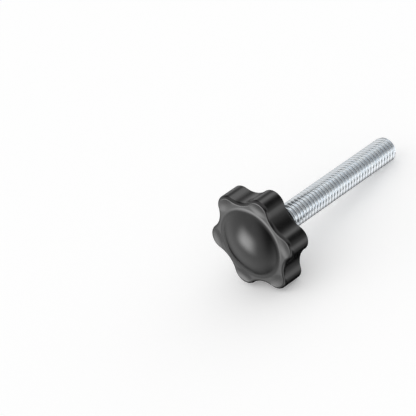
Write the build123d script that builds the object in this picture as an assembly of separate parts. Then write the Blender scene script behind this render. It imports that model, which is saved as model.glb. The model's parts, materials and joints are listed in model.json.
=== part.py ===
from build123d import *
import os
from math import asin, atan2, cos, degrees, hypot, pi, sin, sqrt, tan

# A six-lobed star knob with a threaded stud moulded into it. Millimetres.
# Both pieces are drawn in one local frame: z = 0 is the flat front of the lobes, +Z runs along
# the stud to its tip, and the dome rises towards -Z. The finished knob then lies down as it
# would on a bench, on two neighbouring lobes and the tip of the stud.

# Lobed rim of the head
head_diameter = 24.0        # over the tips of the lobes
lobe_count = 6
lobe_radius = 3.1           # rounding of each lobe, seen from the front
valley_radius = 5.8         # rounding of each finger valley
rim_height = 5.7
front_edge_radius = 0.7
back_edge_radius = 0.25

# Dome on the front
dome_height = 2.35
dome_blend_radius = 2.6     # hollow rounding where the dome runs into the flat front
dome_margin = 0.2           # flat left between the dome and the edge rounding at each valley

# Hollow back and hub
front_wall = 2.0            # plastic behind the flat front
valley_wall = 0.95          # plastic between each valley and the hollow, at the mouth
hub_diameter = 12.5         # at its free end
hub_stand = 3.25            # the hub stands this far out of the rim
draft = 1.0                 # degrees, on the hub and on the wall of the hollow
hub_edge_radius = 0.3
hollow_corner_radius = 0.4
hollow_mouth_radius = 0.2

# Steel stud: a coarse metric thread with a hexagonal anchor that the plastic grips
thread_diameter = 6.0
thread_pitch = 1.0
thread_length = 40.0
tip_chamfer = 0.55
anchor_across_flats = 8.0
anchor_height = 4.0
anchor_cover = 1.8          # plastic between the flat front's plane and the anchor
relief_gap = 1.0            # open ring round the stud, sunk in the end of the hub
relief_depth = 1.0
relief_chamfer = 0.2
moulding_gap = 0.02         # hairline between the plastic and the steel

# Worked out from the above
head_radius = head_diameter / 2
half_pitch = pi / lobe_count
lobe_centre = head_radius - lobe_radius
centre_distance = lobe_radius + valley_radius
valley_centre = lobe_centre * cos(half_pitch) + sqrt(centre_distance**2 - (lobe_centre * sin(half_pitch)) ** 2)
waist_radius = valley_centre - valley_radius
dome_foot_radius = waist_radius - front_edge_radius - dome_margin
hollow_radius = waist_radius - valley_wall
hub_radius = hub_diameter / 2
hub_end = rim_height + hub_stand
relief_radius = thread_diameter / 2 + relief_gap
thread_start = hub_end - relief_depth
stud_tip = thread_start + thread_length
shank_diameter = thread_diameter - 0.6495 * thread_pitch    # a rolled thread's blank, its pitch diameter
seated_on_base = (Align.CENTER, Align.CENTER, Align.MIN)


def polar(radius, angle):
    """The point at a radius and an angle about the stud's axis."""
    return (radius * cos(angle), radius * sin(angle))


def ring_edge(solid, radius, height):
    """The circular edges of one radius at one height, centred on the stud's axis."""
    circles = solid.edges().filter_by(GeomType.CIRCLE)
    level = circles.filter_by_position(Axis.Z, height - 0.005, height + 0.005)
    return level.filter_by(lambda edge: abs(edge.radius - radius) < 0.005)


def lobed_outline():
    """Lobes joined by tangent valley arcs, with a valley on the +X side."""
    share = lobe_radius / centre_distance
    join_x = lobe_centre + (valley_centre * cos(half_pitch) - lobe_centre) * share
    join_y = valley_centre * sin(half_pitch) * share
    join_radius = hypot(join_x, join_y)
    join_angle = atan2(join_y, join_x)
    arcs = []
    for index in range(lobe_count):
        tip = (2 * index + 1) * half_pitch
        valley = tip + half_pitch
        start = polar(join_radius, tip - join_angle)
        end = polar(join_radius, tip + join_angle)
        next_start = polar(join_radius, valley + half_pitch - join_angle)
        arcs.append(ThreePointArc(start, polar(head_radius, tip), end))
        arcs.append(ThreePointArc(end, polar(waist_radius, valley), next_start))
    return make_face(arcs)


def lobed_rim():
    """The lobed block, rounded well at the front and lightly at the back."""
    block = extrude(lobed_outline(), rim_height)
    block = fillet(block.edges().group_by(Axis.Z)[0], front_edge_radius)
    return fillet(block.edges().group_by(Axis.Z)[-1], back_edge_radius)


def dome():
    """A spherical cap that runs into the flat front through a hollow rounding."""
    both_radii = (dome_foot_radius**2 + dome_height**2) / (2 * dome_height)
    slope = asin(dome_foot_radius / both_radii)
    cap_radius = both_radii - dome_blend_radius
    cap_centre = cap_radius - dome_height
    blend = (dome_foot_radius, -dome_blend_radius)

    def on_cap(angle):
        return (cap_radius * sin(angle), cap_centre - cap_radius * cos(angle))

    def on_blend(angle):
        return (blend[0] - dome_blend_radius * sin(angle), blend[1] + dome_blend_radius * cos(angle))

    floor = rim_height / 4      # sunk into the rim, so that the two fuse
    profile = [
        ThreePointArc(on_cap(0), on_cap(slope / 2), on_cap(slope)),
        ThreePointArc(on_cap(slope), on_blend(slope / 2), on_blend(0)),
        Polyline(on_blend(0), (dome_foot_radius, floor), (0, floor), on_cap(0)),
    ]
    return revolve(Plane.XZ * make_face(profile), Axis.Z)


def hub():
    """The tapered hub, from the front wall to its clamping face."""
    root = hub_radius + hub_end * tan(draft * pi / 180)
    return Cone(root, hub_radius, hub_end, align=seated_on_base)


def hollow():
    """The space round the hub, open at the back and slightly wider at its mouth."""
    depth = rim_height - front_wall
    roof_radius = hollow_radius - depth * tan(draft * pi / 180)
    return Pos(0, 0, front_wall) * Cone(roof_radius, hollow_radius, depth, align=seated_on_base)


def anchored_blank(gap):
    """The buried part of the stud, its hexagonal anchor and plain shank, grown by a gap."""
    hexagon = RegularPolygon(anchor_across_flats / 2 + gap, 6, major_radius=False)
    anchor = Pos(0, 0, anchor_cover - gap) * extrude(hexagon, anchor_height + 2 * gap)
    shank_length = thread_start - anchor_cover
    shank = Cylinder(shank_diameter / 2 + gap, shank_length, align=seated_on_base)
    return anchor + Pos(0, 0, anchor_cover) * shank


def knob_head():
    """The one-piece plastic head: lobed rim, dome, hollow back, and hub moulded round the stud."""
    head = lobed_rim() + dome() - hollow() + hub()
    slope = tan(draft * pi / 180)
    hub_at_roof = hub_radius + (hub_end - front_wall) * slope
    hollow_at_roof = hollow_radius - (rim_height - front_wall) * slope
    corners = ring_edge(head, hub_at_roof, front_wall) + ring_edge(head, hollow_at_roof, front_wall)
    head = fillet(corners, hollow_corner_radius)
    head = fillet(ring_edge(head, hollow_radius, rim_height), hollow_mouth_radius)
    head = fillet(ring_edge(head, hub_radius, hub_end), hub_edge_radius)
    head -= Pos(0, 0, thread_start) * Cylinder(relief_radius, relief_depth, align=seated_on_base)
    head = chamfer(ring_edge(head, relief_radius, hub_end), relief_chamfer)
    return head - anchored_blank(moulding_gap)


def threaded_stud():
    """The steel stud. Its thread is drawn as a plain cylinder over the crests."""
    thread = Cylinder(thread_diameter / 2, thread_length, align=seated_on_base)
    thread = chamfer(ring_edge(thread, thread_diameter / 2, thread_length), tip_chamfer)
    return anchored_blank(0) + Pos(0, 0, thread_start) * thread


def resting_dip():
    """How far the stud dips, in degrees, when two lobes and its tip touch a flat surface."""
    lobes_below = lobe_centre * cos(half_pitch) + lobe_radius
    drop = lobes_below - back_edge_radius - thread_diameter / 2
    run = stud_tip - tip_chamfer - (rim_height - back_edge_radius)
    return degrees(atan2(drop, run) + asin(back_edge_radius / hypot(drop, run)))


def laid_down(pieces):
    """Turns the pieces from the local frame to rest, with the origin under their common box."""
    turned = [Rot(0, 90 + resting_dip(), 0) * piece for piece in pieces]
    box = Compound(turned).bounding_box()
    centre = box.center()
    return [Pos(-centre.X, -centre.Y, -box.min.Z) * piece for piece in turned]


os.makedirs("parts", exist_ok=True)
head_at_rest, stud_at_rest = laid_down([knob_head(), threaded_stud()])
export_step(head_at_rest, "parts/knob_head.step")
export_step(stud_at_rest, "parts/threaded_stud.step")
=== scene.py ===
"""Looks of a star knob with a moulded-in threaded stud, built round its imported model.

Sizes are millimetres in the knob's own frame: z = 0 on the flat front of the lobes, +Z along the stud
to its tip, and +X through one finger valley. LocalFrame turns them into metres in the shared frame.
"""

from __future__ import annotations

import json
import logging
import math
from dataclasses import dataclass, field
from enum import Enum
from typing import Callable, Optional, Sequence

import bmesh
import bpy
from mathutils import Matrix, Vector


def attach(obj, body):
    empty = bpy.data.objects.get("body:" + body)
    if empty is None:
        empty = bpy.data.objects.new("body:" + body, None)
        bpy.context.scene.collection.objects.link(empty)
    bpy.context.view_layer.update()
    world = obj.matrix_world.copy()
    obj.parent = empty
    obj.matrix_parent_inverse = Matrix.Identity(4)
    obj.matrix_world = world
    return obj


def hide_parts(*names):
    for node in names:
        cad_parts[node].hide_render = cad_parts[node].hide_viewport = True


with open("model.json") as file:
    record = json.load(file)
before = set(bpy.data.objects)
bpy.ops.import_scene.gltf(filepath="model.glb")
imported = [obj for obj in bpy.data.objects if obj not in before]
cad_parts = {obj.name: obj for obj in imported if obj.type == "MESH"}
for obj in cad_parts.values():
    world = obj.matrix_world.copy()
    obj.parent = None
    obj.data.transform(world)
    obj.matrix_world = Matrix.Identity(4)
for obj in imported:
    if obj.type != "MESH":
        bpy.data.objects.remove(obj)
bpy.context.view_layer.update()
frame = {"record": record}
MM = 0.001
MM_PER_METRE = 1000.0
FULL_TURN = 2.0 * math.pi
WHITE = (1.0, 1.0, 1.0, 1.0)
ROOT = "root"
log = logging.getLogger("star_knob")

Radius = Callable[[float], float]
Colour = tuple[float, float, float, float]


# ---------------------------------------------------------------- frame and meshes


@dataclass(frozen=True)
class LocalFrame:
    """The knob's own frame, as it lies in the shared frame.

    Attributes:
        origin: Centre of the flat front, in metres.
        valley: Unit vector through the finger valley that faces down.
        side: Unit vector that completes the right-handed frame.
        axis: Unit vector along the stud, towards its tip.
    """

    origin: Vector
    valley: Vector
    side: Vector
    axis: Vector

    @classmethod
    def from_mounts(cls, record: dict, hub_end: float) -> "LocalFrame":
        """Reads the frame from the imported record.

        Args:
            record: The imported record, with the mounts stud and clamp_face.
            hub_end: Height of the clamping face over the flat front, in millimetres.

        Returns:
            The local frame.
        """
        mounts = {mount["name"]: mount for mount in record["mounts"]}
        axis = Vector(mounts["stud"]["axis"]).normalized()
        on_axis = Vector(mounts["stud"]["pos_m"])
        on_face = Vector(mounts["clamp_face"]["pos_m"])
        face_centre = on_axis + axis * (on_face - on_axis).dot(axis)
        down = Vector((0.0, 0.0, -1.0))
        valley = (down - axis * down.dot(axis)).normalized()
        return cls(face_centre - axis * hub_end * MM, valley, axis.cross(valley), axis)

    def place(self, x: float, y: float, z: float) -> Vector:
        """Turns a local point in millimetres into metres in the shared frame."""
        return self.origin + (self.valley * x + self.side * y + self.axis * z) * MM

    def angle(self, point: Vector) -> float:
        """Returns a point's angle about the axis, from 0 to a full turn."""
        arm = point - self.origin
        return math.atan2(arm.dot(self.side), arm.dot(self.valley)) % FULL_TURN


@dataclass(frozen=True)
class Ring:
    """One closed section of a turned or lobed form.

    Attributes:
        radius: Radius at an angle about the axis, in millimetres.
        height: Place along the axis, in millimetres.
        sink: Extra height at an angle about the axis, in millimetres.
    """

    radius: Radius
    height: float
    sink: Radius = lambda angle: 0.0


def constant(radius: float) -> Radius:
    """A radius that is the same all round."""
    return lambda angle: radius


def between(inner: Radius, outer: Radius, share: float) -> Radius:
    """A radius that lies between two others, at a share of the way from the inner to the outer one."""
    return lambda angle: inner(angle) * (1.0 - share) + outer(angle) * share


def add_skin(
    mesh: bmesh.types.BMesh, rings: Sequence[Ring], place: LocalFrame, steps: int
) -> list[list[bmesh.types.BMVert]]:
    """Adds rings to a mesh and joins each to the next.

    Args:
        mesh: The mesh that the skin is added to.
        rings: The sections, in order along the skin.
        place: The frame that the form stands in.
        steps: Points round each ring.

    Returns:
        The points of each ring.
    """
    angles = [FULL_TURN * step / steps for step in range(steps)]
    rows = []
    for ring in rings:
        row = []
        for angle in angles:
            radius = ring.radius(angle)
            height = ring.height + ring.sink(angle)
            point = place.place(radius * math.cos(angle), radius * math.sin(angle), height)
            row.append(mesh.verts.new(point))
        rows.append(row)
    for low, high in zip(rows, rows[1:]):
        for step in range(steps):
            after = (step + 1) % steps
            mesh.faces.new((low[step], low[after], high[after], high[step]))
    return rows


def close_end(mesh: bmesh.types.BMesh, row: Sequence[bmesh.types.BMVert], pole: Vector) -> None:
    """Closes a skin with a fan.

    Args:
        mesh: The mesh that holds the skin.
        row: The skin's last ring.
        pole: Where the fan's faces meet.
    """
    middle = mesh.verts.new(pole)
    for first, second in zip(row, [*row[1:], row[0]]):
        mesh.faces.new((first, second, middle))


def zip_rings(
    mesh: bmesh.types.BMesh,
    first: Sequence[bmesh.types.BMVert],
    second: Sequence[bmesh.types.BMVert],
    place: LocalFrame,
) -> None:
    """Joins two closed rows that have different numbers of points with triangles.

    Args:
        mesh: The mesh that holds both rows.
        first: One row, in order of its angle about the axis.
        second: The other row, in the same order.
        place: The frame that the form stands in.
    """
    angles = []
    for row in (first, second):
        angles.append([place.angle(vert.co) for vert in row] + [FULL_TURN + place.angle(row[0].co)])
    here, there = 0, 0
    while here < len(first) or there < len(second):
        near, far = first[here % len(first)], second[there % len(second)]
        if there == len(second) or (here < len(first) and angles[0][here + 1] <= angles[1][there + 1]):
            here += 1
            mesh.faces.new((near, first[here % len(first)], far))
        else:
            there += 1
            mesh.faces.new((near, second[there % len(second)], far))


def ring_form(rings: Sequence[Ring], place: LocalFrame, steps: int) -> bmesh.types.BMesh:
    """Joins rings into one skin, closed at both ends by a fan on the axis.

    Args:
        rings: The sections, in order along the skin.
        place: The frame that the form stands in.
        steps: Points round each ring.

    Returns:
        The mesh, in metres.
    """
    mesh = bmesh.new()
    rows = add_skin(mesh, rings, place, steps)
    for row, ring in ((rows[0], rings[0]), (rows[-1], rings[-1])):
        close_end(mesh, row, place.place(0.0, 0.0, ring.height))
    bmesh.ops.recalc_face_normals(mesh, faces=mesh.faces)
    return mesh


def finish_piece(mesh: bmesh.types.BMesh, name: str, sharp_degrees: float) -> bpy.types.Object:
    """Turns mesh code into a smooth-shaded object.

    Args:
        mesh: The mesh, in metres. It is freed.
        name: Name of the object and its mesh.
        sharp_degrees: Edges that turn by more than this stay sharp.

    Returns:
        The linked object.
    """
    data = bpy.data.meshes.new(name)
    mesh.to_mesh(data)
    mesh.free()
    data.shade_smooth()
    data.set_sharp_from_angle(angle=math.radians(sharp_degrees))
    piece = bpy.data.objects.new(name, data)
    bpy.context.scene.collection.objects.link(piece)
    return piece


# ---------------------------------------------------------------- node groups


class NodeBench:
    """Adds nodes to one tree, in rows that are easy to read, and joins them."""

    ROW = 8
    SPACING = (220.0, -260.0)

    def __init__(self, tree: bpy.types.NodeTree) -> None:
        """Keeps the tree that nodes are added to."""
        self.tree = tree
        self.count = 0

    def add(self, kind: str, inputs: Optional[dict] = None, **settings: object) -> bpy.types.Node:
        """Adds a node.

        Args:
            kind: The node's type name.
            inputs: Socket name or index to a value, or to the output socket that feeds it.
            **settings: Properties of the node.

        Returns:
            The node.
        """
        node = self.tree.nodes.new(kind)
        across, down = self.SPACING
        node.location = (across * (self.count % self.ROW), down * (self.count // self.ROW))
        self.count += 1
        for key, value in settings.items():
            setattr(node, key, value)
        for key, value in (inputs or {}).items():
            socket = node.inputs[key]
            if isinstance(value, bpy.types.NodeSocket):
                self.join(value, socket)
            else:
                socket.default_value = value
        return node

    def math(
        self, operation: str, first: object, second: object, clamp: bool = False
    ) -> bpy.types.NodeSocket:
        """Adds a Math node and returns its output."""
        node = self.add("ShaderNodeMath", {0: first, 1: second}, operation=operation, use_clamp=clamp)
        return node.outputs[0]

    def dot(self, direction: bpy.types.NodeSocket, axis: Vector) -> bpy.types.NodeSocket:
        """Measures how far a direction points along an axis."""
        inputs = {0: direction, 1: tuple(axis)}
        return self.add("ShaderNodeVectorMath", inputs, operation="DOT_PRODUCT").outputs["Value"]

    def smooth_step(self, value: bpy.types.NodeSocket, start: float, end: float) -> bpy.types.NodeSocket:
        """Adds a smooth step that goes from 0 at the start value to 1 at the end value."""
        inputs = {"Value": value, "From Min": start, "From Max": end}
        return self.add("ShaderNodeMapRange", inputs, interpolation_type="SMOOTHSTEP").outputs[0]

    def join(self, source: bpy.types.NodeSocket, target: bpy.types.NodeSocket) -> None:
        """Joins an output to an input."""
        self.tree.links.new(source, target)


class Effect(Enum):
    """The shader node groups that both finishes share."""

    GRAIN = "surface_grain"
    HAIRLINES = "handling_hairlines"


class Band(Enum):
    """The two bands of the grain, by the name of their output."""

    FINE = "Fine"
    SLOW = "Slow"


def open_group(
    name: str, inputs: dict, outputs: Sequence[str]
) -> tuple[NodeBench, bpy.types.Node, bpy.types.Node]:
    """Starts a shader node group.

    Args:
        name: Name of the group.
        inputs: Input name to its socket type and default.
        outputs: Names of the float outputs.

    Returns:
        The bench, the group's input node and its output node.
    """
    tree = bpy.data.node_groups.new(name, "ShaderNodeTree")
    for label, (kind, default) in inputs.items():
        socket = tree.interface.new_socket(name=label, in_out="INPUT", socket_type=kind)
        if default is not None:
            socket.default_value = default
    for label in outputs:
        tree.interface.new_socket(name=label, in_out="OUTPUT", socket_type="NodeSocketFloat")
    bench = NodeBench(tree)
    return bench, bench.add("NodeGroupInput"), bench.add("NodeGroupOutput")


def build_grain() -> bpy.types.NodeTree:
    """Builds two bands of noise: a fine tooth and a slow waver, both about zero.

    Returns:
        The group.
    """
    bench, source, sink = open_group(
        Effect.GRAIN.value,
        {
            "Vector": ("NodeSocketVector", None),
            "Fine per mm": ("NodeSocketFloat", 8.0),
            "Slow per mm": ("NodeSocketFloat", 0.3),
        },
        (Band.FINE.value, Band.SLOW.value),
    )
    middle = 0.5
    for band, rate, detail in ((Band.FINE, "Fine per mm", 3.0), (Band.SLOW, "Slow per mm", 2.0)):
        noise = bench.add(
            "ShaderNodeTexNoise",
            {"Vector": source.outputs["Vector"], "Scale": source.outputs[rate], "Detail": detail},
        )
        bench.join(bench.math("SUBTRACT", noise.outputs[0], middle), sink.inputs[band.value])
    return bench.tree


def build_hairlines() -> bpy.types.NodeTree:
    """Builds sparse fine lines left by handling, as a mask from 0 to 1.

    A line is where a noise drawn out lengthwise crosses its own middle. A second, slow noise leaves the lines
    in patches.

    Returns:
        The group.
    """
    drawn_out, turned = (0.05, 1.0, 1.0), (0.5, 0.7, 0.3)
    detail, wander, middle, thinness = 2.0, 0.6, 0.5, 60.0
    patches_per_mm, patch_detail, patch_edge = 0.35, 1.0, 6.0
    bench, source, sink = open_group(
        Effect.HAIRLINES.value,
        {
            "Vector": ("NodeSocketVector", None),
            "Per mm": ("NodeSocketFloat", 1.0),
            "Cover": ("NodeSocketFloat", 0.3),
        },
        ("Mask",),
    )
    vector, rate = source.outputs["Vector"], source.outputs["Per mm"]
    stretched = bench.add("ShaderNodeMapping", {"Vector": vector, "Rotation": turned, "Scale": drawn_out})
    lines = bench.add(
        "ShaderNodeTexNoise",
        {"Vector": stretched.outputs[0], "Scale": rate, "Detail": detail, "Distortion": wander},
    )
    off_middle = bench.math("ABSOLUTE", bench.math("SUBTRACT", lines.outputs[0], middle), 0.0)
    thin = bench.math("SUBTRACT", 1.0, bench.math("MULTIPLY", off_middle, thinness), clamp=True)
    patches = bench.add(
        "ShaderNodeTexNoise", {"Vector": vector, "Scale": patches_per_mm, "Detail": patch_detail}
    )
    threshold = bench.math("SUBTRACT", 1.0, source.outputs["Cover"])
    over = bench.math("SUBTRACT", patches.outputs[0], threshold)
    where = bench.math("MULTIPLY", over, patch_edge, clamp=True)
    bench.join(bench.math("MULTIPLY", thin, where), sink.inputs["Mask"])
    return bench.tree


def effect(which: Effect) -> bpy.types.NodeTree:
    """Returns a shared node group, built on first use."""
    builders = {Effect.GRAIN: build_grain, Effect.HAIRLINES: build_hairlines}
    return bpy.data.node_groups.get(which.value) or builders[which]()


# ---------------------------------------------------------------- finishes


def start_material(name: str) -> tuple[bpy.types.Material, NodeBench, bpy.types.Node, bpy.types.NodeSocket]:
    """Starts a material whose texture space is millimetres in the shared frame.

    Args:
        name: Name of the material.

    Returns:
        The material, its bench, its Principled BSDF and the texture vector.
    """
    material = bpy.data.materials.new(name)
    material.use_nodes = True
    tree = material.node_tree
    tree.nodes.clear()
    bench = NodeBench(tree)
    bsdf = bench.add("ShaderNodeBsdfPrincipled")
    bench.add("ShaderNodeOutputMaterial", {"Surface": bsdf.outputs[0]})
    coords = bench.add("ShaderNodeTexCoord")
    scaled = bench.add(
        "ShaderNodeVectorMath",
        {0: coords.outputs["Object"], 1: (MM_PER_METRE,) * 3},
        operation="MULTIPLY",
    )
    return material, bench, bsdf, scaled.outputs[0]


@dataclass(frozen=True)
class Finish:
    """A surface with an uneven tone, a fine grain, a slow waver and the hairlines of handling.

    Attributes:
        name: Name of the material.
        tones: The two colours that the tone wanders between.
        tone_swing: How strongly the slow waver moves the tone.
        roughness: Roughness before anything is added.
        uneven_by: The band that makes the roughness uneven.
        roughness_spread: How much that band adds or takes away.
        scuff: Roughness that a hairline adds.
        fine_per_mm: How close the fine grain is.
        slow_per_mm: How close the slow waver is.
        hairs_per_mm: How close the hairlines are.
        hair_cover: Share of the surface that may carry hairlines.
        tooth: Height of the fine grain, in millimetres.
        waver: Height of the slow waver, in millimetres.
        metallic: 1 for bare metal, 0 for plastic.
        ior: Index of refraction.
    """

    name: str
    tones: tuple[Colour, Colour]
    tone_swing: float
    roughness: float
    uneven_by: Band
    roughness_spread: float
    scuff: float
    fine_per_mm: float
    slow_per_mm: float
    hairs_per_mm: float
    hair_cover: float
    tooth: float
    waver: float
    metallic: float
    ior: float

    def effects(
        self, bench: NodeBench, vector: bpy.types.NodeSocket
    ) -> tuple[bpy.types.Node, bpy.types.NodeSocket]:
        """Places the two shared groups in the material, with this finish's own values.

        Args:
            bench: The material's nodes.
            vector: The texture vector, in millimetres.

        Returns:
            The grain's node and the hairlines' mask.
        """
        grain = bench.add("ShaderNodeGroup", node_tree=effect(Effect.GRAIN))
        grain.inputs["Fine per mm"].default_value = self.fine_per_mm
        grain.inputs["Slow per mm"].default_value = self.slow_per_mm
        hairs = bench.add("ShaderNodeGroup", node_tree=effect(Effect.HAIRLINES))
        hairs.inputs["Per mm"].default_value = self.hairs_per_mm
        hairs.inputs["Cover"].default_value = self.hair_cover
        for node in (grain, hairs):
            bench.join(vector, node.inputs["Vector"])
        return grain, hairs.outputs["Mask"]

    def build(self) -> bpy.types.Material:
        """Builds the material: its tone, its roughness and its relief.

        Returns:
            The material.
        """
        material, bench, bsdf, vector = start_material(self.name)
        grain, hairs = self.effects(bench, vector)
        fine, slow = grain.outputs[Band.FINE.value], grain.outputs[Band.SLOW.value]
        halfway = 0.5
        share = bench.math("ADD", bench.math("MULTIPLY", slow, self.tone_swing), halfway, clamp=True)
        tone = bench.add("ShaderNodeMix", {0: share, 6: self.tones[0], 7: self.tones[1]}, data_type="RGBA")
        bench.join(tone.outputs[2], bsdf.inputs["Base Color"])
        uneven = bench.math("MULTIPLY", grain.outputs[self.uneven_by.value], self.roughness_spread)
        scuffed = bench.math("MULTIPLY", hairs, self.scuff)
        rough = bench.math("ADD", bench.math("ADD", uneven, scuffed), self.roughness, clamp=True)
        bench.join(rough, bsdf.inputs["Roughness"])
        tooth, waver = bench.math("MULTIPLY", fine, self.tooth), bench.math("MULTIPLY", slow, self.waver)
        relief = bench.math("ADD", tooth, waver)
        bump = bench.add("ShaderNodeBump", {"Height": relief, "Distance": MM, "Strength": 1.0})
        bench.join(bump.outputs[0], bsdf.inputs["Normal"])
        bsdf.inputs["Metallic"].default_value = self.metallic
        bsdf.inputs["IOR"].default_value = self.ior
        return material


@dataclass(frozen=True)
class MouldedPlastic(Finish):
    """Black moulded plastic with a satin gloss."""

    name: str = "black_moulded_plastic"
    tones: tuple[Colour, Colour] = ((0.006, 0.006, 0.006, 1.0), (0.011, 0.011, 0.011, 1.0))
    tone_swing: float = 1.2
    roughness: float = 0.17
    uneven_by: Band = Band.SLOW
    roughness_spread: float = 0.08
    scuff: float = 0.12
    fine_per_mm: float = 9.0
    slow_per_mm: float = 0.45
    hairs_per_mm: float = 1.6
    hair_cover: float = 0.45
    tooth: float = 0.0004
    waver: float = 0.008
    metallic: float = 0.0
    ior: float = 1.5


@dataclass(frozen=True)
class ZincPlate(Finish):
    """Bright zinc plating on a rolled steel stud."""

    name: str = "bright_zinc_plate"
    tones: tuple[Colour, Colour] = ((0.67, 0.715, 0.76, 1.0), (0.705, 0.73, 0.745, 1.0))
    tone_swing: float = 2.0
    roughness: float = 0.24
    uneven_by: Band = Band.FINE
    roughness_spread: float = 0.06
    scuff: float = 0.1
    fine_per_mm: float = 6.0
    slow_per_mm: float = 0.6
    hairs_per_mm: float = 2.5
    hair_cover: float = 0.5
    tooth: float = 0.001
    waver: float = 0.003
    metallic: float = 1.0
    ior: float = 1.5


# ---------------------------------------------------------------- the knob


# The metric thread form, as shares of the pitch
THREAD_DEPTH = 0.6134
PITCH_DIAMETER_DROP = 0.6495

# Where the rings lie along a straight stretch, as shares of it. Those near its ends keep the shading flat.
ROOF_PLACES = (0.1, 0.9)
FACE_PLACES = (0.05, 0.95)
BACK_PLACES = (0.05, 0.5, 0.95)
WALL_PLACES = (0.03, 0.5, 0.97)
RIM_PLACES = (0.02, 0.25, 0.5, 0.75, 0.98)
FRONT_PLACES = (0.03, 0.1, 0.2, 0.3, 0.4, 0.5, 0.6, 0.7, 0.8, 0.9, 0.97)


@dataclass
class StudSizes:
    """Sizes of the steel stud, in millimetres.

    Attributes:
        diameter: Diameter over the crests.
        pitch: Length of one turn of the thread.
        length: Length of the thread.
        start: Height of the thread's first turn, on the floor of the relief in the hub.
        tip_chamfer: How much the tip's edge is cut back.
        anchor_across_flats: Width of the buried hexagon.
        anchor_height: Height of the buried hexagon.
        anchor_cover: Plastic between the flat front and the buried hexagon.
    """

    diameter: float = 6.0
    pitch: float = 1.0
    length: float = 40.0
    start: float = 7.95
    tip_chamfer: float = 0.55
    anchor_across_flats: float = 8.0
    anchor_height: float = 4.0
    anchor_cover: float = 1.8

    @property
    def radius(self) -> float:
        """Radius over the crests."""
        return self.diameter / 2.0

    @property
    def tip(self) -> float:
        """Height of the flat tip."""
        return self.start + self.length

    @property
    def shank_radius(self) -> float:
        """Radius of the buried plain shank, the thread's pitch radius."""
        return (self.diameter - PITCH_DIAMETER_DROP * self.pitch) / 2.0

    def hexagon(self, gap: float) -> Radius:
        """Gives the outline of the hexagonal anchor.

        Args:
            gap: How far every flat is moved outwards.

        Returns:
            The radius at each angle about the axis.
        """
        apothem = self.anchor_across_flats / 2.0 + gap
        turn = math.pi / 3.0
        return lambda angle: apothem / math.cos((angle % turn) - turn / 2.0)


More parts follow.
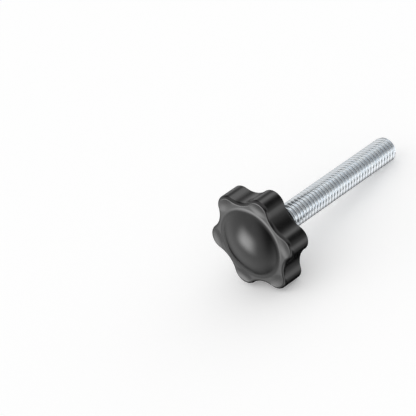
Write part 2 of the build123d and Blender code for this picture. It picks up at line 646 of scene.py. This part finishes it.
@dataclass
class MouldedHead:
    """The one-piece plastic head: lobed rim, dome, hollow back and hub.

    Its form is one skin of rings that runs from the top of the dome over the rim, into the hollow,
    up the hub and down round the buried part of the stud. Sizes are in millimetres, the draft in degrees.

    Attributes:
        dome_margin: Flat ring between the foot of the dome and the front edge, at a valley.
        front_wall: Plastic between the flat front and the hollow's roof.
        valley_wall: Plastic between a valley's floor and the hollow's mouth.
        hub_stand: How far the hub stands out beyond the rim.
        relief_gap: Width of the open ring round the stud's root.
        moulding_gap: Hairline between the plastic and the buried steel.
        sink: Depth of the sink mark on each lobe.
        sink_centre: Distance of a sink mark's middle from the axis.
        sink_depthwise: Half the sink mark's size outwards.
        sink_width: Half its size across the lobe.
        steps: Points round each ring.
        arc_steps: Steps in a rounded edge or corner.
        cap_steps: Rings in the dome.
        blend_steps: Rings in the hollow rounding at its foot.
        sharp_degrees: Edges that turn by more than this stay sharp.
    """

    stud: StudSizes
    head_diameter: float = 24.0
    lobe_count: int = 6
    lobe_radius: float = 3.1
    valley_radius: float = 5.8
    rim_height: float = 5.7
    front_edge_radius: float = 0.7
    back_edge_radius: float = 0.25
    dome_height: float = 2.35
    dome_blend_radius: float = 2.6
    dome_margin: float = 0.2
    front_wall: float = 2.0
    valley_wall: float = 0.95
    hub_diameter: float = 12.5
    hub_stand: float = 3.25
    draft: float = 1.0
    hub_edge_radius: float = 0.3
    hollow_corner_radius: float = 0.4
    hollow_mouth_radius: float = 0.2
    relief_gap: float = 1.0
    relief_depth: float = 1.0
    relief_chamfer: float = 0.2
    moulding_gap: float = 0.02
    sink: float = 0.07
    sink_centre: float = 10.0
    sink_depthwise: float = 1.5
    sink_width: float = 2.8
    steps: int = 432
    arc_steps: int = 7
    cap_steps: int = 26
    blend_steps: int = 12
    sharp_degrees: float = 32.0
    finish: MouldedPlastic = field(default_factory=MouldedPlastic)

    @property
    def lobe_centre(self) -> float:
        """Distance of a lobe's centre from the axis."""
        return self.head_diameter / 2.0 - self.lobe_radius

    @property
    def valley_centre(self) -> float:
        """Distance of a valley arc's centre from the axis.

        Returns:
            The distance at which the valley's arc runs smoothly into the lobes on both sides.
        """
        half = math.pi / self.lobe_count
        reach = self.lobe_radius + self.valley_radius
        across = self.lobe_centre * math.sin(half)
        return self.lobe_centre * math.cos(half) + math.sqrt(reach**2 - across**2)

    @property
    def waist_radius(self) -> float:
        """Distance of a valley's floor from the axis."""
        return self.valley_centre - self.valley_radius

    @property
    def hub_end(self) -> float:
        """Height of the clamping face."""
        return self.rim_height + self.hub_stand

    def outline(self, inset: float) -> Radius:
        """Gives the lobed outline, moved inwards.

        Args:
            inset: How far the outline is moved inwards, along its own normals.

        Returns:
            The radius at each angle about the axis, with a valley at angle 0.
        """
        half = math.pi / self.lobe_count
        lobe, valley = self.lobe_radius - inset, self.valley_radius + inset
        share = lobe / (self.lobe_radius + self.valley_radius)
        away = self.valley_centre * math.cos(half) - self.lobe_centre
        join = math.atan2(self.valley_centre * math.sin(half) * share, self.lobe_centre + away * share)

        def radius(angle: float) -> float:
            """Meets the lobe's arc or the valley's arc.

            Args:
                angle: Angle about the axis.

            Returns:
                The distance from the axis.
            """
            from_lobe = abs((angle % (2.0 * half)) - half)
            if from_lobe <= join:
                across = self.lobe_centre * math.sin(from_lobe)
                return self.lobe_centre * math.cos(from_lobe) + math.sqrt(lobe**2 - across**2)
            from_valley = half - from_lobe
            across = self.valley_centre * math.sin(from_valley)
            return self.valley_centre * math.cos(from_valley) - math.sqrt(valley**2 - across**2)

        return radius

    @property
    def dome_foot(self) -> float:
        """Radius of the dome's foot, where the flat front begins."""
        return self.waist_radius - self.front_edge_radius - self.dome_margin

    @property
    def mouth_radius(self) -> float:
        """Radius of the hollow at the back face."""
        return self.waist_radius - self.valley_wall

    def grown(self, depth: float) -> float:
        """Gives how much the draft widens a wall over a depth."""
        return depth * math.tan(math.radians(self.draft))

    @property
    def roof_radius(self) -> float:
        """Radius of the hollow at its roof."""
        return self.mouth_radius - self.grown(self.rim_height - self.front_wall)

    def rounding(self, size: float, start: float, end: float) -> list[tuple[float, float]]:
        """Gives a quarter circle that rounds an edge or fills a corner.

        Args:
            size: Its radius.
            start: Where it starts, 0 on the face across the axis or 90 on the wall along it.
            end: Where it ends, the other of the two.

        Returns:
            For each ring, its distance from the wall and its distance from the face.
        """
        steps = range(self.arc_steps + 1)
        angles = [math.radians(start + (end - start) * step / self.arc_steps) for step in steps]
        return [(size * (1.0 - math.sin(angle)), size * (1.0 - math.cos(angle))) for angle in angles]

    def dome_rings(self) -> list[Ring]:
        """Makes the cap of the dome and the hollow rounding at its foot.

        Both are arcs that turn through the same slope, so the dome runs smoothly into the flat front.

        Returns:
            The rings, from the top of the dome to the flat front.
        """
        foot = self.dome_foot
        both_radii = (foot**2 + self.dome_height**2) / (2.0 * self.dome_height)
        slope = math.asin(foot / both_radii)
        cap = both_radii - self.dome_blend_radius
        rings = []
        for step in range(1, self.cap_steps + 1):
            angle = slope * step / self.cap_steps
            height = cap - self.dome_height - cap * math.cos(angle)
            rings.append(Ring(constant(cap * math.sin(angle)), height))
        for step in range(1, self.blend_steps + 1):
            angle = slope * (1.0 - step / self.blend_steps)
            radius = foot - self.dome_blend_radius * math.sin(angle)
            height = -self.dome_blend_radius * (1.0 - math.cos(angle))
            rings.append(Ring(constant(radius), height))
        return rings

    def lobe_sink(self, radius: Radius) -> Radius:
        """Gives how far the front has sunk on each lobe, where the plastic is thickest.

        Args:
            radius: The ring that the sink is wanted on.

        Returns:
            The depth at each angle about the axis.
        """
        half = math.pi / self.lobe_count

        def depth(angle: float) -> float:
            """Falls off smoothly from the middle of the nearest sink mark.

            Args:
                angle: Angle about the axis.

            Returns:
                The depth.
            """
            off = (angle % (2.0 * half)) - half
            reach = radius(angle)
            along = (reach * math.cos(off) - self.sink_centre) / self.sink_depthwise
            across = reach * math.sin(off) / self.sink_width
            return self.sink * max(0.0, 1.0 - along**2 - across**2) ** 2

        return depth

    def rim_rings(self) -> list[Ring]:
        """Makes the flat front, the rounded front edge, the lobed wall and the rounded back edge.

        Returns:
            The rings, from the foot of the dome to the back face.
        """
        foot, edge = constant(self.dome_foot), self.outline(self.front_edge_radius)
        flats = [between(foot, edge, share) for share in FRONT_PLACES]
        low, high = self.front_edge_radius, self.rim_height - self.back_edge_radius
        wall = self.outline(0.0)
        rings = [Ring(radius, 0.0, self.lobe_sink(radius)) for radius in flats]
        for inset, drop in self.rounding(self.front_edge_radius, 0.0, 90.0):
            rings.append(Ring(self.outline(inset), drop))
        rings += [Ring(wall, low + (high - low) * share) for share in RIM_PLACES]
        for inset, drop in self.rounding(self.back_edge_radius, 90.0, 0.0):
            rings.append(Ring(self.outline(inset), self.rim_height - drop))
        return rings

    def hollow_rings(self) -> list[Ring]:
        """Makes the back face, the hollow's mouth, its drafted wall and the corner under its roof.

        Returns:
            The rings, from the back face to the roof.
        """
        back, roof, mouth = self.rim_height, self.front_wall, self.mouth_radius
        lip, corner = self.hollow_mouth_radius, self.hollow_corner_radius
        edge, land = self.outline(self.back_edge_radius), constant(mouth + lip)
        top, bottom = back - lip, roof + corner
        rings = [Ring(between(edge, land, share), back) for share in BACK_PLACES]
        for inset, drop in self.rounding(lip, 0.0, 90.0):
            rings.append(Ring(constant(mouth + inset), back - drop))
        for share in WALL_PLACES:
            height = top + (bottom - top) * share
            rings.append(Ring(constant(mouth - self.grown(back - height)), height))
        for inset, drop in self.rounding(corner, 90.0, 0.0):
            rings.append(Ring(constant(self.roof_radius - inset), roof + drop))
        return rings

    def hub_rings(self) -> list[Ring]:
        """Makes the hollow's roof and the drafted hub, with its rounded root and edge.

        Returns:
            The rings, from the roof to the hub's end.
        """
        roof, end, corner = self.front_wall, self.hub_end, self.hollow_corner_radius
        hub = self.hub_diameter / 2.0
        root = hub + self.grown(end - roof)
        outer, inner = self.roof_radius - corner, root + corner
        low, high = roof + corner, end - self.hub_edge_radius
        rings = [Ring(constant(outer + (inner - outer) * share), roof) for share in ROOF_PLACES]
        for inset, drop in self.rounding(corner, 0.0, 90.0):
            rings.append(Ring(constant(root + inset), roof + drop))
        for share in WALL_PLACES:
            height = low + (high - low) * share
            rings.append(Ring(constant(hub + self.grown(end - height)), height))
        for inset, drop in self.rounding(self.hub_edge_radius, 90.0, 0.0):
            rings.append(Ring(constant(hub - inset), end - drop))
        return rings

    def bore_rings(self) -> list[Ring]:
        """Makes the clamping face, the relief round the stud and the seat of the buried anchor.

        Returns:
            The rings, from the hub's end to the bottom of the anchor's seat.
        """
        stud, gap = self.stud, self.moulding_gap
        relief = stud.radius + self.relief_gap
        face_edge = self.hub_diameter / 2.0 - self.hub_edge_radius
        mouth = relief + self.relief_chamfer
        floor = self.hub_end - self.relief_depth
        bore = stud.shank_radius + gap
        top = stud.anchor_cover + stud.anchor_height + gap
        bottom = stud.anchor_cover - gap
        face = [constant(face_edge + (mouth - face_edge) * share) for share in FACE_PLACES]
        rings = [Ring(radius, self.hub_end) for radius in face]
        return rings + [
            Ring(constant(mouth), self.hub_end),
            Ring(constant(relief), self.hub_end - self.relief_chamfer),
            Ring(constant(relief), floor),
            Ring(constant(bore), floor),
            Ring(constant(bore), top),
            Ring(stud.hexagon(gap), top),
            Ring(stud.hexagon(gap), bottom),
            Ring(constant(stud.shank_radius), bottom),
        ]

    def build(self, place: LocalFrame) -> bpy.types.Object:
        """Builds the head, gives it its finish and puts it on the knob.

        Args:
            place: The knob's own frame.

        Returns:
            The piece.
        """
        front, back = self.dome_rings() + self.rim_rings(), self.hollow_rings() + self.hub_rings()
        form = ring_form(front + back + self.bore_rings(), place, self.steps)
        piece = finish_piece(form, "moulded_head", self.sharp_degrees)
        piece.data.materials.append(self.finish.build())
        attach(piece, ROOT)
        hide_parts("knob_head")
        return piece


@dataclass
class ThreadedStud:
    """The steel stud with its rolled thread, plain shank and hexagonal anchor.

    Attributes:
        sizes: The stud's sizes.
        steps: Points round the stud.
        crest_share: Share of the pitch that the rounded crest takes.
        root_share: Share of the pitch that the rounded root takes.
        crest_drop: How far the crest has fallen at its edge, as a share of the thread's depth.
        root_rise: How far the root has risen at its edge, as a share of the thread's depth.
        lead_in: Share of the pitch by which the thread is moved towards the tip.
        spare_turns: Turns that are made beyond each end and cut off.
        cut_tolerance: Points nearer than this to a cut count as on it, in metres.
        sharp_degrees: Edges that turn by more than this stay sharp.
        finish: The stud's finish.
    """

    sizes: StudSizes
    steps: int = 72
    crest_share: float = 0.16
    root_share: float = 0.22
    crest_drop: float = 0.04
    root_rise: float = 0.06
    lead_in: float = 0.317
    spare_turns: int = 2
    cut_tolerance: float = 1e-8
    sharp_degrees: float = 40.0
    finish: ZincPlate = field(default_factory=ZincPlate)

    @property
    def bends(self) -> tuple[float, float]:
        """Places where the crest ends and the root begins, as shares of the pitch from a crest's middle."""
        return self.crest_share / 2.0, 0.5 - self.root_share / 2.0

    def flank(self, phase: float) -> float:
        """Gives the radius of the thread at a place along one pitch.

        Args:
            phase: Share of the pitch from the middle of a crest, any number.

        Returns:
            The radius in millimetres, with rounded crests and roots.
        """
        crest, root = self.bends
        off = abs((phase + 0.5) % 1.0 - 0.5)
        if off <= crest:
            drop = self.crest_drop * (off / crest) ** 2
        elif off >= root:
            drop = 1.0 - self.root_rise * ((0.5 - off) / (0.5 - root)) ** 2
        else:
            fall = 1.0 - self.crest_drop - self.root_rise
            drop = self.crest_drop + fall * (off - crest) / (root - crest)
        return self.sizes.radius - THREAD_DEPTH * self.sizes.pitch * drop

    def section(self) -> list[float]:
        """Gives the places of the section's points within one pitch, closest where it bends.

        Returns:
            The places, as shares of the pitch.
        """
        crest, root = self.bends
        on_crest, past_bend, middle = 0.55, 0.08, 0.5
        flank = root - crest
        half = [0.0, crest * on_crest, crest, crest + flank * past_bend]
        half += [crest + flank * middle, root - flank * past_bend, root, (root + 0.5) / 2.0]
        back = [1.0 - share for share in half[1:][::-1]]
        return half + [0.5] + back

    def thread_mesh(self, place: LocalFrame) -> bmesh.types.BMesh:
        """Makes a helical skin along the whole thread, longer than needed at both ends.

        Args:
            place: The knob's own frame.

        Returns:
            The mesh, open at both ends.
        """
        sizes = self.sizes
        section = self.section()
        turns = math.ceil(sizes.length / sizes.pitch) + 2 * self.spare_turns
        base = sizes.start - self.spare_turns * sizes.pitch
        heights = [base + sizes.pitch * (turn + share) for turn in range(turns) for share in section]
        shares = [share for turn in range(turns) for share in section]
        per_pitch = len(section)
        mesh = bmesh.new()
        columns = []
        for step in range(self.steps):
            angle = FULL_TURN * step / self.steps
            lift = sizes.pitch * (step / self.steps + self.lead_in)
            column = []
            for height, share in zip(heights, shares):
                z = height + lift
                radius = min(self.flank(share), self.cone(z))
                point = place.place(radius * math.cos(angle), radius * math.sin(angle), z)
                column.append(mesh.verts.new(point))
            columns.append(column)
        last = len(heights)
        for step in range(self.steps):
            here = columns[step]
            after = columns[(step + 1) % self.steps]
            shift = per_pitch if step == self.steps - 1 else 0
            for index in range(last - 1 - shift):
                corners = (here[index], after[index + shift], after[index + 1 + shift], here[index + 1])
                mesh.faces.new(corners)
        return mesh

    def cone(self, z: float) -> float:
        """Gives the largest radius that the tip's chamfer leaves at a height."""
        return self.sizes.radius - max(0.0, z - (self.sizes.tip - self.sizes.tip_chamfer))

    def cut(
        self, mesh: bmesh.types.BMesh, place: LocalFrame, height: float, outwards: int
    ) -> list[bmesh.types.BMVert]:
        """Cuts the skin square to its axis.

        Args:
            mesh: The thread's skin.
            place: The knob's own frame.
            height: Where it is cut, in millimetres.
            outwards: 1 to remove what lies beyond the cut, -1 what lies before it.

        Returns:
            The points round the cut, in order of their angle about the axis.
        """
        geometry = list(mesh.verts) + list(mesh.edges) + list(mesh.faces)
        result = bmesh.ops.bisect_plane(
            mesh,
            geom=geometry,
            dist=self.cut_tolerance,
            plane_co=place.place(0.0, 0.0, height),
            plane_no=place.axis * outwards,
            clear_outer=True,
        )
        rim = [item for item in result["geom_cut"] if isinstance(item, bmesh.types.BMVert)]
        return sorted(rim, key=lambda vert: place.angle(vert.co))

    def buried_rings(self) -> list[Ring]:
        """Makes the plain shank and the hexagonal anchor inside the hub.

        Returns:
            The rings, from the thread's start to the bottom of the anchor.
        """
        sizes = self.sizes
        top = sizes.anchor_cover + sizes.anchor_height
        shank = constant(sizes.shank_radius)
        hexagon = sizes.hexagon(0.0)
        return [
            Ring(shank, sizes.start),
            Ring(shank, top),
            Ring(hexagon, top),
            Ring(hexagon, sizes.anchor_cover),
            Ring(shank, sizes.anchor_cover),
        ]

    def build(self, place: LocalFrame) -> bpy.types.Object:
        """Builds the stud, gives it its finish and puts it on the knob.

        Args:
            place: The knob's own frame.

        Returns:
            The piece.
        """
        sizes = self.sizes
        mesh = self.thread_mesh(place)
        close_end(mesh, self.cut(mesh, place, sizes.tip, 1), place.place(0.0, 0.0, sizes.tip))
        root = self.cut(mesh, place, sizes.start, -1)
        rings = self.buried_rings()
        rows = add_skin(mesh, rings, place, self.steps)
        zip_rings(mesh, root, rows[0], place)
        close_end(mesh, rows[-1], place.place(0.0, 0.0, rings[-1].height))
        bmesh.ops.recalc_face_normals(mesh, faces=mesh.faces)
        piece = finish_piece(mesh, "rolled_stud", self.sharp_degrees)
        piece.data.materials.append(self.finish.build())
        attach(piece, ROOT)
        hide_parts("threaded_stud")
        return piece


# ---------------------------------------------------------------- studio


def heading(azimuth: float, elevation: float) -> Vector:
    """Gives a direction in the shared frame.

    Args:
        azimuth: Angle about +Z from +X, in degrees.
        elevation: Angle over the horizon, in degrees.

    Returns:
        The unit vector that points that way.
    """
    turn, rise = math.radians(azimuth), math.radians(elevation)
    level = math.cos(rise)
    return Vector((level * math.cos(turn), level * math.sin(turn), math.sin(rise)))


@dataclass
class Camera:
    """A long lens on the dome's side, rolled so that the stud climbs. Angles are in degrees.

    Attributes:
        azimuth: Where the camera stands, about +Z from +X.
        elevation: How high it stands over the horizon.
        roll: How far it is rolled about its line of sight.
        distance: Distance to the point that it is aimed at, in metres.
        lens: Focal length, in millimetres.
        pan: Turn to its left after it is aimed.
        tilt: Turn upwards after it is aimed.
        aim_height: Height of the aimed point on the knob's axis, in millimetres.
        nearest: Nearest distance that it shows, in metres.
        farthest: Farthest distance that it shows, in metres.
    """

    azimuth: float = -127.365
    elevation: float = 30.81
    roll: float = 24.226
    distance: float = 0.50954
    lens: float = 203.06
    pan: float = 1.0691
    tilt: float = 0.8419
    aim_height: float = 0.36
    nearest: float = 0.01
    farthest: float = 20.0

    def build(self, place: LocalFrame) -> bpy.types.Object:
        """Adds the camera and makes it the scene's own.

        Args:
            place: The knob's own frame.

        Returns:
            The camera.
        """
        away = heading(self.azimuth, self.elevation)
        target = place.place(0.0, 0.0, self.aim_height)
        looking = away.to_track_quat("Z", "Y").to_matrix().to_4x4()
        turns = Matrix.Rotation(math.radians(-self.roll), 4, "Z")
        turns = turns @ Matrix.Rotation(math.radians(self.pan), 4, "Y")
        turns = turns @ Matrix.Rotation(math.radians(self.tilt), 4, "X")
        data = bpy.data.cameras.new("camera")
        data.lens = self.lens
        data.clip_start = self.nearest
        data.clip_end = self.farthest
        camera = bpy.data.objects.new("camera", data)
        bpy.context.scene.collection.objects.link(camera)
        camera.matrix_world = Matrix.Translation(target + away * self.distance) @ looking @ turns
        bpy.context.scene.camera = camera
        return camera


@dataclass(frozen=True)
class SoftPanel:
    """A soft-edged lamp or black card in the surround.

    Attributes:
        azimuth: Direction of its middle about +Z, in degrees from +X.
        elevation: Height of its middle over the horizon, in degrees.
        turn: Its turn about its own middle, in degrees.
        width: Sine of half the angle that it spans across.
        height: Sine of half the angle that it spans upwards.
        blur: Width of its soft edge, in the same measure.
        tone: Its brightness, where 1 is white.
        facing: Cosine of the angle from its middle within which it shows in full. At 0 it is gone.
    """

    azimuth: float
    elevation: float
    turn: float
    width: float
    height: float
    blur: float
    tone: float
    facing: float = 0.2

    def axes(self) -> tuple[Vector, Vector, Vector]:
        """Gives the panel's own directions.

        Returns:
            The unit vectors to its middle, across it and up it.
        """
        azimuth, turn = math.radians(self.azimuth), math.radians(self.turn)
        middle = heading(self.azimuth, self.elevation)
        right = Vector((-math.sin(azimuth), math.cos(azimuth), 0.0))
        over = middle.cross(right)
        across = right * math.cos(turn) + over * math.sin(turn)
        return middle, across, over * math.cos(turn) - right * math.sin(turn)

    def over(
        self, bench: NodeBench, direction: bpy.types.NodeSocket, tone: object
    ) -> bpy.types.NodeSocket:
        """Lays the panel over the surround.

        Args:
            bench: The world's nodes.
            direction: Socket with the direction that is looked in.
            tone: Socket or number with the brightness behind the panel.

        Returns:
            The brightness with the panel in place.
        """
        middle, across, up = self.axes()
        cover = bench.smooth_step(bench.dot(direction, middle), 0.0, self.facing)
        for axis, half in ((across, self.width), (up, self.height)):
            off = bench.math("ABSOLUTE", bench.dot(direction, axis), 0.0)
            part = bench.smooth_step(off, half + self.blur / 2.0, half - self.blur / 2.0)
            cover = bench.math("MULTIPLY", cover, part)
        return bench.add("ShaderNodeMix", {0: cover, 2: tone, 3: self.tone}).outputs[0]


@dataclass
class Studio:
    """A pale floor in a white surround, with a few cards and lamps for the knob's gloss to show.

    Each panel gives azimuth, elevation, turn, width, height, blur and tone. The cards are black, and the
    lamps are brighter than the surround. Near, left and right are as seen from where the camera stands.

    Attributes:
        floor_size: Side of the floor, in metres.
        floor_squares: Faces along each side of the floor.
        floor_tone: Colour of the floor.
        floor_roughness: Roughness of the floor.
        floor_lift: White that the floor adds to what the camera sees of it.
        surround: Strength of the light that falls on the knob.
        white: Brightness of the surround where nothing stands in it.
        near_card: Black card, near and low.
        far_card: Black card, far and low.
        right_card: Black card, right and high.
        left_lamp: Small bright lamp, left and level.
        near_left_lamp: Tall lamp, near, left and low.
        near_right_lamp: Wide lamp, near, right and low.
        right_lamp: Soft lamp, right and high, in front of the right card.
    """

    floor_size: float = 6.0
    floor_squares: int = 8
    floor_tone: float = 0.93
    floor_roughness: float = 0.9
    floor_lift: float = 0.2
    surround: float = 0.85
    white: float = 1.0
    near_card: SoftPanel = SoftPanel(-145.0, -25.0, 0.0, 0.6, 0.8, 0.3, 0.0)
    far_card: SoftPanel = SoftPanel(55.0, -55.0, 0.0, 0.6, 0.8, 0.5, 0.0)
    right_card: SoftPanel = SoftPanel(0.0, 40.0, 30.0, 0.9, 0.4, 0.6, 0.0)
    left_lamp: SoftPanel = SoftPanel(145.0, -5.0, 60.0, 0.2, 0.2, 0.3, 6.0)
    near_left_lamp: SoftPanel = SoftPanel(-155.0, -35.0, -30.0, 0.3, 0.5, 0.5, 2.0)
    near_right_lamp: SoftPanel = SoftPanel(-100.0, -20.0, -20.0, 0.7, 0.2, 0.3, 2.0)
    right_lamp: SoftPanel = SoftPanel(0.0, 50.0, -30.0, 0.3, 0.2, 0.6, 3.0)

    @property
    def panels(self) -> tuple[SoftPanel, ...]:
        """All panels, each in front of those before it."""
        cards = (self.near_card, self.far_card, self.right_card)
        return cards + (self.left_lamp, self.near_left_lamp, self.near_right_lamp, self.right_lamp)

    def floor(self) -> bpy.types.Object:
        """Adds the floor that the knob lies on.

        Returns:
            The floor.
        """
        mesh = bmesh.new()
        squares, sharp_degrees = self.floor_squares, 30.0
        bmesh.ops.create_grid(mesh, x_segments=squares, y_segments=squares, size=self.floor_size / 2.0)
        piece = finish_piece(mesh, "floor", sharp_degrees)
        material, bench, bsdf, _ = start_material("pale_floor")
        bsdf.inputs["Base Color"].default_value = (self.floor_tone,) * 3 + (1.0,)
        bsdf.inputs["Roughness"].default_value = self.floor_roughness
        bsdf.inputs["Specular IOR Level"].default_value = 0.0
        bsdf.inputs["Emission Color"].default_value = WHITE
        path = bench.add("ShaderNodeLightPath")
        lift = bench.math("MULTIPLY", path.outputs["Is Camera Ray"], self.floor_lift)
        bench.join(lift, bsdf.inputs["Emission Strength"])
        piece.data.materials.append(material)
        piece.visible_glossy = False
        return piece

    def world(self) -> bpy.types.World:
        """Adds the white surround, with its panels where only glossy and transmitted rays see them.

        Returns:
            The world.
        """
        world = bpy.data.worlds.new("surround")
        bpy.context.scene.world = world
        world.use_nodes = True
        world.cycles.sampling_method = "NONE"
        tree = world.node_tree
        tree.nodes.clear()
        bench = NodeBench(tree)
        direction = bench.add("ShaderNodeTexCoord").outputs["Generated"]
        mirrored = self.white
        for panel in self.panels:
            mirrored = panel.over(bench, direction, mirrored)
        path = bench.add("ShaderNodeLightPath")
        seen = path.outputs["Is Camera Ray"]
        shiny = bench.math("MAXIMUM", path.outputs["Is Glossy Ray"], path.outputs["Is Transmission Ray"])
        lit = bench.add("ShaderNodeMix", {0: shiny, 2: self.surround, 3: mirrored}).outputs[0]
        strength = bench.add("ShaderNodeMix", {0: seen, 2: lit, 3: self.white}).outputs[0]
        light = bench.add("ShaderNodeBackground", {"Color": WHITE, "Strength": strength})
        bench.add("ShaderNodeOutputWorld", {"Surface": light.outputs[0]})
        return world

    def build(self) -> None:
        """Adds the floor and the surround, and shows colours as they are written."""
        self.floor()
        self.world()
        bpy.context.scene.view_settings.view_transform = "Standard"


def main() -> None:
    """Builds the knob and its studio."""
    logging.basicConfig(level=logging.INFO, format="%(name)s: %(message)s")
    sizes = StudSizes()
    head = MouldedHead(sizes)
    place = LocalFrame.from_mounts(frame["record"], head.hub_end)
    for piece in (head.build(place), ThreadedStud(sizes).build(place)):
        log.info("%s: %d faces", piece.name, len(piece.data.polygons))
    Studio().build()
    Camera().build(place)


if __name__ == "__main__":
    main()
